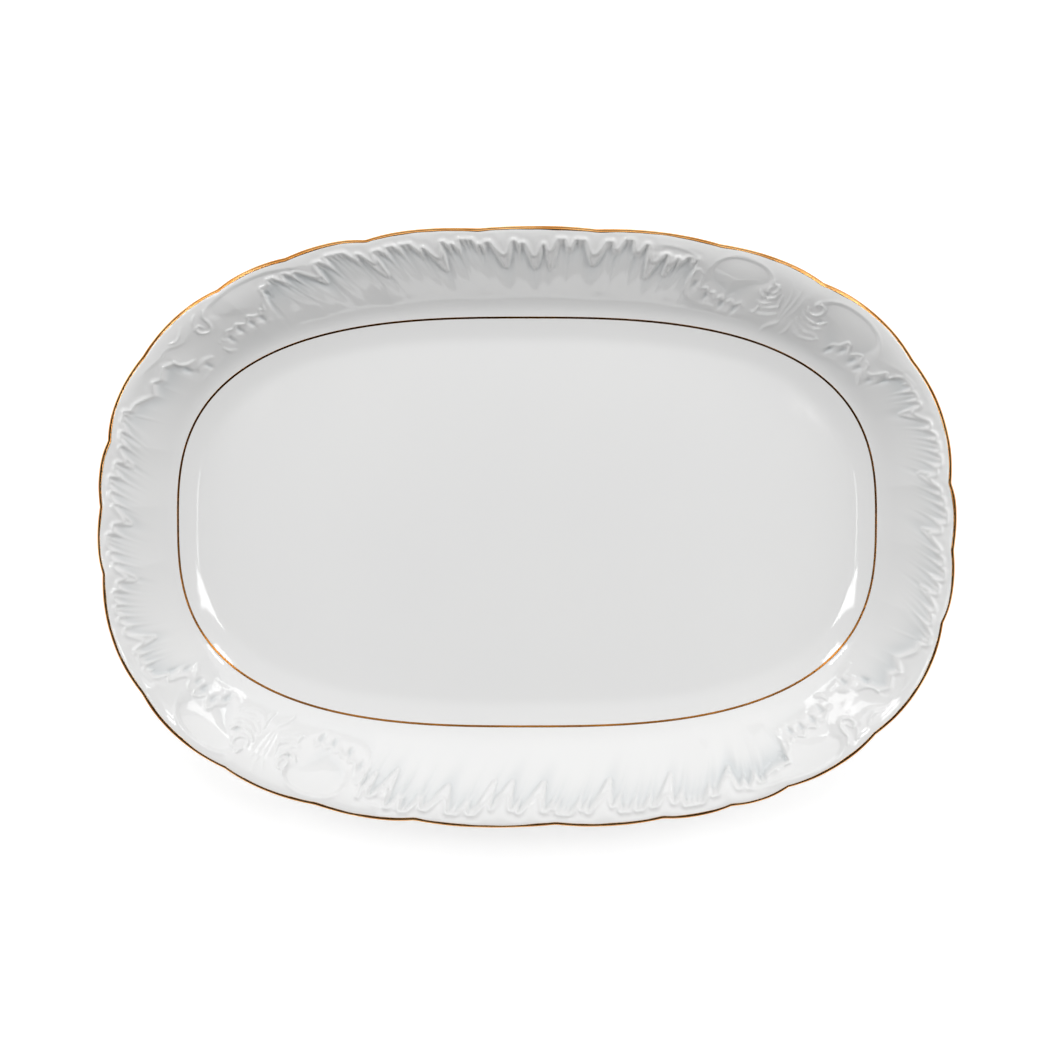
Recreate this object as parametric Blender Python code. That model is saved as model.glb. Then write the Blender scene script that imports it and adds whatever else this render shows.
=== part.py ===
# Oval porcelain serving platter: a pressed body, the foot ring stuck under it, a gilded edge and
# a gilded line round the well.  Metres, +Z up.  The foot ring stands on z = 0 with the middle of
# the oval on the Z axis, and the long way of the oval lies along X.

import bmesh
import bpy
import numpy as np

# Driving dimensions ---------------------------------------------------------------------------
RIM_LENGTH = 0.340  # over the gilded edge, along X
RIM_WIDTH = 0.240  # over the gilded edge, along Y
RIM_POWER = 2.54  # 2 gives an ellipse, a higher power a squarer oval
FLANGE_AT_ENDS = 0.031  # from the gilded line out to the rim, at the two ends
FLANGE_AT_SIDES = 0.038  # the same at the front and the back
WELL_POWER = 2.8  # the well is a little squarer than the rim

FOOT_HEIGHT = 0.0055
FOOT_BASE_WIDTH = 0.0026
FOOT_TOP_WIDTH = 0.0044
FOOT_INSET = 0.0090  # from the gilded line in to the foot's outer face

FLOOR_THICKNESS = 0.0045
COVE_WIDTH = 0.0150  # where the flat floor starts to curve up, in from the gilded line
COVE_RISE = 0.0020  # floor to gilded line
LINE_SLOPE = 0.25  # rise over run where the cove turns into the flange
FLANGE_RISE = 0.0205  # gilded line to the top of the edge
EDGE_SLOPE = 0.14  # the flange flattens towards its edge
FLANGE_THICKNESS = 0.0042  # measured upright, next to the gilded line
EDGE_THICKNESS = 0.0030  # the same at the edge
EDGE_ROUNDING = 0.0006

LINE_WIDTH = 0.0010  # the gilded line round the well
LINE_THICKNESS = 0.0004
BAND_WIDTH = 0.0013  # the gilded edge, seen from above
BAND_CROWN = 0.0002

GAP = 0.0003  # clearance between pieces that touch
LOBE_CROWN = 0.0005  # how far the rim swells between two notches
STATION_STEP = 0.0066  # spacing of the cross-sections along the rim

# The notches that divide the rim into uneven shells: place round the rim in percent, counted
# anticlockwise from +X, and depth in millimetres.
NOTCHES = (
    (1.9, 1.2), (7.4, 0.5), (12.4, 1.2), (17.0, 0.4), (22.1, 0.7), (27.0, 0.3), (31.7, 1.2),
    (35.1, 0.5), (38.2, 1.0), (42.4, 0.3), (46.3, 1.0), (49.1, 0.5), (51.9, 0.9), (57.3, 0.6),
    (62.0, 0.5), (66.1, 0.3), (70.3, 0.9), (76.2, 0.7), (80.7, 0.6), (83.6, 0.6), (86.1, 0.8),
    (90.4, 0.8), (96.0, 0.9), (99.1, 0.4),
)

# Heights that follow from them
FLOOR_TOP = FOOT_HEIGHT + FLOOR_THICKNESS
LINE_HEIGHT = FLOOR_TOP + COVE_RISE
EDGE_TOP = LINE_HEIGHT + FLANGE_RISE


def clear_scene():
    for item in list(bpy.data.objects):
        bpy.data.objects.remove(item, do_unlink=True)


def make_material(name, color, roughness, metallic):
    material = bpy.data.materials.new(name)
    material.use_nodes = True
    shader = material.node_tree.nodes["Principled BSDF"]
    shader.inputs["Base Color"].default_value = (*color, 1.0)
    shader.inputs["Roughness"].default_value = roughness
    shader.inputs["Metallic"].default_value = metallic
    return material


# ---- The two ovals that everything follows ------------------------------------------------------

def oval(length, width, power, shares):
    """Points and outward normals of a squared oval, at shares (0 to 1) of its perimeter."""
    turn = np.linspace(0.0, 2.0 * np.pi, 7201)
    cos, sin = np.cos(turn), np.sin(turn)
    a, b = length / 2.0, width / 2.0
    radius = (np.abs(cos / a) ** power + np.abs(sin / b) ** power) ** (-1.0 / power)
    x, y = radius * cos, radius * sin
    walked = np.concatenate([[0.0], np.cumsum(np.hypot(np.diff(x), np.diff(y)))])
    at = np.interp(shares, walked / walked[-1], turn)
    px, py = np.interp(at, turn, x), np.interp(at, turn, y)
    nx = np.sign(px) * np.abs(px / a) ** (power - 1.0) / a
    ny = np.sign(py) * np.abs(py / b) ** (power - 1.0) / b
    norm = np.hypot(nx, ny)
    return np.stack([px, py], axis=1), np.stack([nx / norm, ny / norm], axis=1)


def rim_stations():
    """Shares of the perimeter at which the cross-sections stand, and the rim's offset at each.

    Every notch has a cross-section, and each shell between two notches is cut evenly.
    """
    perimeter = np.pi * (RIM_LENGTH + RIM_WIDTH) / 2.0
    shares, offsets = [], []
    for index, (start, start_depth) in enumerate(NOTCHES):
        end, end_depth = NOTCHES[(index + 1) % len(NOTCHES)]
        span = (end - start) % 100.0 / 100.0
        steps = max(3, round(span * perimeter / STATION_STEP))
        for step in range(steps):
            along = step / steps
            swell = np.sin(np.pi * along)
            depth = (start_depth + (end_depth - start_depth) * along) / 1000.0
            shares.append((start / 100.0 + span * along) % 1.0)
            offsets.append(LOBE_CROWN * swell - depth * (1.0 - swell) ** 1.5 - LOBE_CROWN)
    return np.array(shares), np.array(offsets)


SHARES, RIM_OFFSETS = rim_stations()
RIM, RIM_NORMALS = oval(RIM_LENGTH, RIM_WIDTH, RIM_POWER, SHARES)
LINE, LINE_NORMALS = oval(
    RIM_LENGTH - 2.0 * FLANGE_AT_ENDS, RIM_WIDTH - 2.0 * FLANGE_AT_SIDES, WELL_POWER, SHARES
)


def from_line(distance):
    """The gilded line's oval, moved outwards by a distance."""
    return LINE + LINE_NORMALS * distance


def from_rim(distance):
    """The scalloped rim, moved outwards by a distance."""
    return RIM + RIM_NORMALS * (RIM_OFFSETS + distance)[:, None]


def curve_height(share, rise, run, start_slope, end_slope):
    """Height of a smooth rise at a share of its run, with a set slope at each end."""
    s = share
    start = start_slope * run * (s**3 - 2.0 * s**2 + s)
    end = end_slope * run * (s**3 - s**2)
    return start + end + rise * (3.0 * s**2 - 2.0 * s**3)


def cove_height(distance):
    """Top of the body at a distance (negative is inwards) from the gilded line, in the cove."""
    share = 1.0 + distance / COVE_WIDTH
    return FLOOR_TOP + curve_height(share, COVE_RISE, COVE_WIDTH, 0.0, LINE_SLOPE)


def flange_height(share):
    """Top of the flange at a share of the way from the gilded line to the edge."""
    run = (FLANGE_AT_ENDS + FLANGE_AT_SIDES) / 2.0
    return LINE_HEIGHT + curve_height(share, FLANGE_RISE, run, LINE_SLOPE, EDGE_SLOPE)


def flange_thickness(share):
    return FLANGE_THICKNESS + (EDGE_THICKNESS - FLANGE_THICKNESS) * share


# ---- Solids from stacks of rings -------------------------------------------------------------

def level(outline, height):
    """One ring: an outline at a height."""
    return np.column_stack([outline, np.full(len(outline), height)])


def add_solid(name, rings, closed, material):
    """Skin a stack of rings.  A closed stack is a loop in section, an open one is capped."""
    mesh = bpy.data.meshes.new(name)
    bm = bmesh.new()
    rows = [[bm.verts.new(point) for point in ring] for ring in rings]
    pairs = list(zip(rows, rows[1:]))
    if closed:
        pairs.append((rows[-1], rows[0]))
    count = len(rows[0])
    for upper, lower in pairs:
        for index in range(count):
            after = (index + 1) % count
            bm.faces.new((upper[index], lower[index], lower[after], upper[after]))
    if not closed:
        bm.faces.new(rows[0])
        bm.faces.new(list(reversed(rows[-1])))
    bmesh.ops.recalc_face_normals(bm, faces=bm.faces)
    bm.to_mesh(mesh)
    bm.free()
    mesh.materials.append(material)
    mesh.shade_smooth()
    mesh.set_sharp_from_angle(angle=np.radians(32.0))
    solid = bpy.data.objects.new(name, mesh)
    bpy.context.scene.collection.objects.link(solid)
    return solid


# ---- Porcelain body ----------------------------------------------------------------------------

def make_body():
    """Floor, cove and flange in one wall, with a groove for the gilded line and a lip for the
    gilded edge."""
    groove = LINE_WIDTH / 2.0 + GAP
    groove_floor = LINE_THICKNESS + GAP
    rim_inset = -(BAND_WIDTH + GAP)
    rings = []

    # Top side, from the edge of the flat floor out to the groove
    for share in np.linspace(0.0, 1.0, 5)[:-1]:
        distance = -COVE_WIDTH * (1.0 - share) - groove * share
        rings.append(level(from_line(distance), cove_height(distance)))
    rings.append(level(from_line(-groove), cove_height(-groove)))
    rings.append(level(from_line(-groove), cove_height(-groove) - groove_floor))
    outer_lip = LINE_HEIGHT + LINE_SLOPE * groove
    rings.append(level(from_line(groove), outer_lip - groove_floor))
    rings.append(level(from_line(groove), outer_lip))

    # Flange, from the groove out to the edge
    flange_start = from_line(groove)
    flange_end = from_rim(rim_inset)
    for share in (0.14, 0.30, 0.46, 0.62, 0.78, 0.90):
        outline = flange_start + (flange_end - flange_start) * share
        rings.append(level(outline, flange_height(share)))
    rings.append(level(from_rim(rim_inset - EDGE_ROUNDING), EDGE_TOP))
    rings.append(level(from_rim(rim_inset), EDGE_TOP - EDGE_ROUNDING))

    # Underside, back in to the foot
    rings.append(level(from_rim(rim_inset), EDGE_TOP - EDGE_THICKNESS + EDGE_ROUNDING))
    rings.append(level(from_rim(rim_inset - EDGE_ROUNDING), EDGE_TOP - EDGE_THICKNESS))
    for share in (0.80, 0.60, 0.40, 0.20, 0.0):
        outline = LINE + (flange_end - LINE) * share
        rings.append(level(outline, flange_height(share) - flange_thickness(share)))
    rings.append(level(from_line(-FOOT_INSET / 2.0), (FOOT_HEIGHT + cove_underside()) / 2.0))
    rings.append(level(from_line(-FOOT_INSET), FOOT_HEIGHT))
    return add_solid("china_body", rings, False, PORCELAIN)


def cove_underside():
    """Underside at the gilded line, where the flange's wall starts."""
    return LINE_HEIGHT - FLANGE_THICKNESS


# ---- Foot ring ---------------------------------------------------------------------------------

def make_foot_ring():
    """Tapered standing ring under the edge of the well, with a flat base."""
    top = FOOT_HEIGHT - GAP
    middle = -FOOT_INSET - FOOT_TOP_WIDTH / 2.0
    knee = top * 0.45
    rings = [
        level(from_line(middle + FOOT_TOP_WIDTH / 2.0), top),
        level(from_line(middle + FOOT_BASE_WIDTH / 2.0 + EDGE_ROUNDING / 2.0), knee),
        level(from_line(middle + FOOT_BASE_WIDTH / 2.0), 0.0),
        level(from_line(middle - FOOT_BASE_WIDTH / 2.0), 0.0),
        level(from_line(middle - FOOT_BASE_WIDTH / 2.0 - EDGE_ROUNDING / 2.0), knee),
        level(from_line(middle - FOOT_TOP_WIDTH / 2.0), top),
    ]
    return add_solid("foot_ring", rings, True, BISQUE)


# ---- Gilding -----------------------------------------------------------------------------------

def make_well_line():
    """Thin band that lies in the groove between the cove and the flange."""
    half = LINE_WIDTH / 2.0
    inner = cove_height(-half)
    outer = LINE_HEIGHT + LINE_SLOPE * half
    rings = [
        level(from_line(-half), inner),
        level(from_line(half), outer),
        level(from_line(half), outer - LINE_THICKNESS),
        level(from_line(-half), inner - LINE_THICKNESS),
    ]
    return add_solid("gilt_well_line", rings, True, GOLD)


def make_edge_band():
    """Rounded band that covers the lip all the way round the scalloped rim."""
    bottom = EDGE_TOP - EDGE_THICKNESS
    shoulder = BAND_WIDTH / 2.0
    rings = [
        level(from_rim(-BAND_WIDTH), EDGE_TOP),
        level(from_rim(-shoulder), EDGE_TOP + BAND_CROWN),
        level(from_rim(0.0), EDGE_TOP - EDGE_ROUNDING),
        level(from_rim(0.0), bottom + EDGE_ROUNDING),
        level(from_rim(-shoulder), bottom - BAND_CROWN),
        level(from_rim(-BAND_WIDTH), bottom),
    ]
    return add_solid("gilt_edge", rings, True, GOLD_EDGE)


clear_scene()
PORCELAIN = make_material("glazed_porcelain", (0.86, 0.87, 0.87), 0.12, 0.0)
BISQUE = make_material("bisque_foot", (0.80, 0.78, 0.74), 0.70, 0.0)
GOLD = make_material("fired_gold_line", (0.78, 0.52, 0.22), 0.25, 1.0)
GOLD_EDGE = make_material("fired_gold_edge", (0.80, 0.54, 0.24), 0.22, 1.0)
make_body()
make_foot_ring()
make_well_line()
make_edge_band()
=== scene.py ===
import math

import bmesh
import bpy
import numpy as np
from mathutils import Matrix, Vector, kdtree


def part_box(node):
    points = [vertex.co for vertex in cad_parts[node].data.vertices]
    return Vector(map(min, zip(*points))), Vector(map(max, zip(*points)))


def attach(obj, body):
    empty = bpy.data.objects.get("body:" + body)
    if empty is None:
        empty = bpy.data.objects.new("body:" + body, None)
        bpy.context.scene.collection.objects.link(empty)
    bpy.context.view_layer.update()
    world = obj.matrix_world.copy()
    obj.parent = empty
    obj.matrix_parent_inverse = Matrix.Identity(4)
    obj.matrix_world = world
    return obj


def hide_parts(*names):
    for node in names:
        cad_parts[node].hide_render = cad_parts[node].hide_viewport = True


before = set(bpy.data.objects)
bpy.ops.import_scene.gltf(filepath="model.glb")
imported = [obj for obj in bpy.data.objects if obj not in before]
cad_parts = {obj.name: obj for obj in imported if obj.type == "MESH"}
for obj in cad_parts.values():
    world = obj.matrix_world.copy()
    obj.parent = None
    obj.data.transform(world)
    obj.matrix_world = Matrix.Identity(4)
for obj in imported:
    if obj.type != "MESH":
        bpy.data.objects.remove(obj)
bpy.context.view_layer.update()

# ==== China body ==================================================================================
# The platter itself: one wall of hard white porcelain, pressed in a plaster mould that gives it the
# rocaille relief, fired, dipped in clear glaze and fired again.  Floor, cove and flange are one piece.
# Everything here is in metres, and the relief is drawn in millimetres.

MM = 0.001

# The CAD line gives the well's size, and the CAD body the height of its underside.
LINE_LOW, LINE_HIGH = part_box("gilt_well_line")
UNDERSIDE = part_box("china_body")[0][2]

# Plan.  A power of 2 would be a plain oval; a higher one squares it.
RIM_LENGTH = 0.340
RIM_WIDTH = 0.240
RIM_POWER = 2.54
GILT_LINE_WIDTH = 0.0010
WELL_LENGTH = LINE_HIGH[0] - LINE_LOW[0] - GILT_LINE_WIDTH
WELL_WIDTH = LINE_HIGH[1] - LINE_LOW[1] - GILT_LINE_WIDTH
WELL_POWER = 2.8
LOBE_CROWN = 0.0005  # how far a shell of the rim bulges between its notches

# Cross-section, from the floor over the cove and the gilded line to the lip
FLOOR_THICKNESS = 0.0045
COVE_WIDTH = 0.0118
COVE_BEND = 0.0055  # the part of the cove's width that bends out of the flat floor
COVE_SLOPE = 0.205
COVE_RISE = 0.0020
LINE_SLOPE = 0.25
FLANGE_RISE = 0.0205
FLANGE_THICKNESS = 0.0042
EDGE_THICKNESS = 0.0026

FLOOR_TOP = UNDERSIDE + FLOOR_THICKNESS
LINE_HEIGHT = FLOOR_TOP + COVE_RISE
EDGE_TOP = LINE_HEIGHT + FLANGE_RISE

# Notches that divide the rim into uneven shells: percent of the way round from +X, depth in mm.
NOTCHES = (
    (1.9, 1.2), (7.4, 0.5), (12.4, 0.9), (17.0, 0.3), (22.1, 0.4), (27.0, 0.3), (31.7, 1.1),
    (35.1, 0.4), (38.2, 0.6), (42.4, 0.3), (46.3, 1.0), (49.1, 0.5), (51.9, 0.9), (57.3, 0.6),
    (62.0, 0.5), (66.1, 0.3), (70.3, 0.9), (76.2, 0.7), (80.7, 0.6), (83.6, 0.6), (86.1, 0.8),
    (90.4, 0.8), (96.0, 0.9), (99.1, 0.4),
)


def squared_oval(length, width, power, percents):
    """Points and outward normals of a squared oval, at percents of the way round."""
    turn = np.linspace(0.0, 2.0 * np.pi, 14401)
    cos, sin = np.cos(turn), np.sin(turn)
    a, b = length / 2.0, width / 2.0
    radius = (np.abs(cos / a) ** power + np.abs(sin / b) ** power) ** (-1.0 / power)
    x, y = radius * cos, radius * sin
    walked = np.concatenate([[0.0], np.cumsum(np.hypot(np.diff(x), np.diff(y)))])
    at = np.interp(np.mod(percents, 100.0) / 100.0, walked / walked[-1], turn)
    px, py = np.interp(at, turn, x), np.interp(at, turn, y)
    nx = np.sign(px) * np.abs(px / a) ** (power - 1.0) / a
    ny = np.sign(py) * np.abs(py / b) ** (power - 1.0) / b
    norm = np.hypot(nx, ny)
    return np.stack([px, py], axis=-1), np.stack([nx / norm, ny / norm], axis=-1)


def rim_swell(percents):
    """How far the scalloped rim lies outside (+) or inside (-) the plain oval."""
    places = np.array([place for place, _ in NOTCHES] + [NOTCHES[0][0] + 100.0])
    depths = np.array([depth for _, depth in NOTCHES] + [NOTCHES[0][1]]) * MM
    wrapped = np.mod(percents - places[0], 100.0) + places[0]
    lobe = np.clip(np.searchsorted(places, wrapped, side="right") - 1, 0, len(places) - 2)
    along = (wrapped - places[lobe]) / (places[lobe + 1] - places[lobe])
    swell = np.sin(np.pi * along)
    depth = depths[lobe] + (depths[lobe + 1] - depths[lobe]) * along
    return LOBE_CROWN * swell - depth * (1.0 - swell) ** 1.5 - LOBE_CROWN


def flange_plan(percents, shares, inset=0.0):
    """Plan of the flange at a share of the way from the gilded line (0) to the rim (1)."""
    line, _ = squared_oval(WELL_LENGTH, WELL_WIDTH, WELL_POWER, percents)
    rim, outward = squared_oval(RIM_LENGTH, RIM_WIDTH, RIM_POWER, percents)
    rim = rim + outward * (rim_swell(percents) - inset)[..., None]
    return line + (rim - line) * np.asarray(shares)[..., None]


def ease(value, low, high):
    """Smooth step from 0 at low to 1 at high."""
    t = np.clip((value - low) / (high - low), 0.0, 1.0)
    return t * t * (3.0 - 2.0 * t)


def cove_height(distance):
    """Top of the cove at a distance (negative is inwards) from the gilded line."""
    turn = np.clip((distance + COVE_WIDTH) / COVE_BEND, 0.0, 1.0)
    bent = COVE_SLOPE * COVE_BEND * (turn**3 - 0.5 * turn**4)
    after = np.clip(distance + COVE_WIDTH - COVE_BEND, 0.0, None)
    slope = COVE_SLOPE * after + 0.5 * (LINE_SLOPE - COVE_SLOPE) * after**2 / (COVE_WIDTH - COVE_BEND)
    return FLOOR_TOP + bent + slope


def flange_height(share):
    """Height of the plain flange: soon steep, even half way up, flatter towards the edge."""
    steps = np.linspace(0.0, 1.0, 401)
    slope = ease(steps, -0.12, 0.28) * (1.0 - 0.80 * ease(steps, 0.62, 1.05))
    walked = np.concatenate([[0.0], np.cumsum(0.5 * (slope[1:] + slope[:-1]))])
    return LINE_HEIGHT + FLANGE_RISE * np.interp(share, steps, walked / walked[-1])


# ---- The relief's drawing ------------------------------------------------------------------------
# A place on the flange is (percent round the platter, share of the way from line to rim).  The
# relief repeats after half a turn, so only the part from 7 to 57 percent is drawn, and a second
# copy lies 50 percent further on.

HALF_TURN = 50.0
FLANGE_MM = 36.0  # mean width of the flange
PERCENT_MM = 8.8  # mean length of one percent of the way round

# How far the flutes lean as they run inwards, in percent per share of the flange, all the way round.
LEAN = ((3.0, 1.7), (6.0, 0.6), (7.0, 0.5), (17.0, 1.2), (20.0, 0.0), (24.0, 0.0), (27.0, -0.9),
        (30.0, -1.6), (35.0, -1.8), (37.0, -0.6), (40.0, 0.4), (42.0, 2.6), (47.0, 1.8), (53.0, 1.7),
        (56.0, 0.6), (57.0, 0.5), (67.0, 1.2), (71.0, 1.2), (76.0, 2.2), (84.0, 2.4), (87.0, 0.8),
        (90.0, 0.4), (92.0, 2.6), (97.0, 1.8))

# The inner limit of the raised margin: a high fringe along the four sides that drops to the ruffled
# edge of each corner panel.
MARGIN = ((6.6, 0.80), (6.85, 0.785), (7.06, 0.71), (7.2, 0.50), (7.45, 0.36), (8.3, 0.34), (9.0, 0.30),
          (9.8, 0.26), (10.5, 0.26), (11.4, 0.26), (12.1, 0.31), (12.5, 0.28), (12.9, 0.28),
          (13.6, 0.29), (14.3, 0.27), (15.0, 0.25), (16.0, 0.28), (16.9, 0.31), (17.35, 0.42),
          (17.6, 0.81), (18.6, 0.83), (19.7, 0.88), (20.7, 0.93), (23.4, 0.92), (26.0, 0.89),
          (27.5, 0.93), (30.0, 0.91), (33.2, 0.93), (34.2, 0.88), (35.4, 0.86), (36.4, 0.82),
          (36.8, 0.74), (37.1, 0.54), (37.5, 0.41), (38.5, 0.37), (39.5, 0.36), (40.2, 0.34),
          (41.3, 0.31), (41.8, 0.37), (42.05, 0.64), (42.45, 0.72), (43.0, 0.65), (43.3, 0.71),
          (43.8, 0.61), (44.5, 0.78), (44.85, 0.80), (44.95, 0.90), (46.5, 0.90), (48.1, 0.92),
          (51.0, 0.89), (54.0, 0.88), (56.2, 0.84))

# Arches of the fringe, each one a scooped flute or a group of them: where it starts and ends, and the
# share of the flange that its top reaches.  Between two arches the margin hangs down in a swag.
LONG_SIDE = (
    (17.70, 18.05, 0.80), (18.25, 18.40, 0.78), (18.75, 19.05, 0.79), (19.75, 20.00, 0.88),
    (20.45, 20.90, 0.915), (21.30, 21.68, 0.89), (22.45, 23.00, 0.895), (23.32, 23.76, 0.89),
    (24.22, 24.36, 0.84), (25.05, 25.35, 0.84), (25.42, 25.68, 0.87), (26.52, 26.85, 0.87),
    (26.94, 27.12, 0.85), (27.22, 27.88, 0.90), (28.12, 28.34, 0.85), (28.44, 28.70, 0.875),
    (29.42, 29.65, 0.82), (29.88, 30.42, 0.88), (30.58, 31.02, 0.885), (31.22, 31.62, 0.875),
    (32.12, 32.40, 0.85), (32.68, 33.60, 0.89), (33.86, 34.24, 0.85), (34.98, 35.30, 0.83),
    (35.42, 35.72, 0.845), (36.02, 36.42, 0.835),
)
SHORT_SIDE = (
    (45.00, 45.50, 0.88), (45.75, 46.15, 0.86), (46.32, 46.60, 0.84), (47.05, 47.50, 0.83),
    (47.80, 48.28, 0.89), (48.42, 48.76, 0.87), (48.90, 49.12, 0.84), (49.72, 50.08, 0.82),
    (50.28, 50.88, 0.90), (51.00, 51.32, 0.87), (51.46, 51.76, 0.85), (52.25, 52.60, 0.82),
    (52.74, 53.22, 0.885), (53.36, 53.76, 0.88), (53.88, 54.16, 0.865), (54.38, 54.72, 0.83),
    (55.38, 55.62, 0.80), (55.74, 56.12, 0.805), (56.24, 56.56, 0.80),
)
FRONT_SHIFT = 49.1  # the front's fringe against the back's, in percent

# Pointed leaves under the swags: place, share of the tip, half width at the swag, in percent.
LONG_LEAVES = ((18.55, 0.53, 0.22), (19.40, 0.47, 0.32), (22.02, 0.60, 0.32), (23.92, 0.53, 0.20),
               (24.68, 0.54, 0.34), (26.10, 0.56, 0.34), (29.05, 0.53, 0.32), (31.86, 0.53, 0.24),
               (34.60, 0.58, 0.28))
SHORT_LEAVES = ((46.82, 0.60, 0.20), (49.42, 0.58, 0.28), (52.00, 0.56, 0.24), (55.05, 0.50, 0.32))

# Heights and widths of the fringe, in mm
MARGIN_STEP = 0.95  # margin over the flutes
LEDGE_STEP = 0.12  # the corner panels' inner ledge over the ground
LIP_ROLL = 0.42  # the margin's rolled lip
LIP_GROOVE = 0.20  # shallow groove outside the rolled lip
FLUTE_DEPTH = 1.20
FLUTE_RUN = 8.0  # how far a flute runs down the flange
LEAF_RIDGE = 0.55  # the two ridges of a pointed leaf
CREST_HEIGHT = 0.70  # fine crests between flutes
CREST_HALF_WIDTH = 0.60
RIB_SPACING = 0.24  # percent between the fine ribs inside an arch
SPRINGING = 0.045  # fall of an arch from its top to its springing, as a share of the flange

# Scarps that curl round the corner panels.  The ground drops on their left-hand side as they run:
# (points, depth in mm, reach of the hollow in mm, shares of the length that fade at either end).
SCARPS = (
    (((6.1, 0.87), (6.7, 0.84), (7.3, 0.79), (7.8, 0.71)), 0.50, 5.0, 0.1, 0.1),
    (((8.15, 0.50), (8.15, 0.58), (8.25, 0.66), (8.55, 0.77), (9.1, 0.86), (9.9, 0.905),
      (10.8, 0.905), (11.4, 0.87), (11.8, 0.79), (11.9, 0.73), (11.8, 0.66), (11.45, 0.57),
      (11.0, 0.48), (10.7, 0.40)), 0.80, 15.0, 0.10, 0.26),
    (((14.6, 0.42), (14.35, 0.52), (14.17, 0.62), (14.12, 0.72), (14.3, 0.81), (14.8, 0.89),
      (15.6, 0.925), (16.25, 0.91), (16.65, 0.85), (16.85, 0.76), (16.95, 0.68), (16.97, 0.60),
      (16.9, 0.54), (16.6, 0.49)), 0.80, 16.0, 0.20, 0.12),
    (((17.15, 0.76), (17.8, 0.84), (18.7, 0.885), (19.7, 0.885)), 0.45, 4.0, 0.1, 0.1),
    (((34.0, 0.83), (34.9, 0.88), (36.2, 0.925), (37.6, 0.945), (38.5, 0.93), (39.1, 0.885),
      (39.5, 0.81), (39.5, 0.72), (39.6, 0.62), (39.5, 0.55), (39.1, 0.51)), 0.75, 13.0, 0.06, 0.22),
    (((40.15, 0.84), (40.5, 0.77), (41.0, 0.735), (41.35, 0.765), (41.7, 0.83), (42.2, 0.83),
      (42.8, 0.87), (43.6, 0.91)), 0.60, 8.0, 0.06, 0.10),
)

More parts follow.
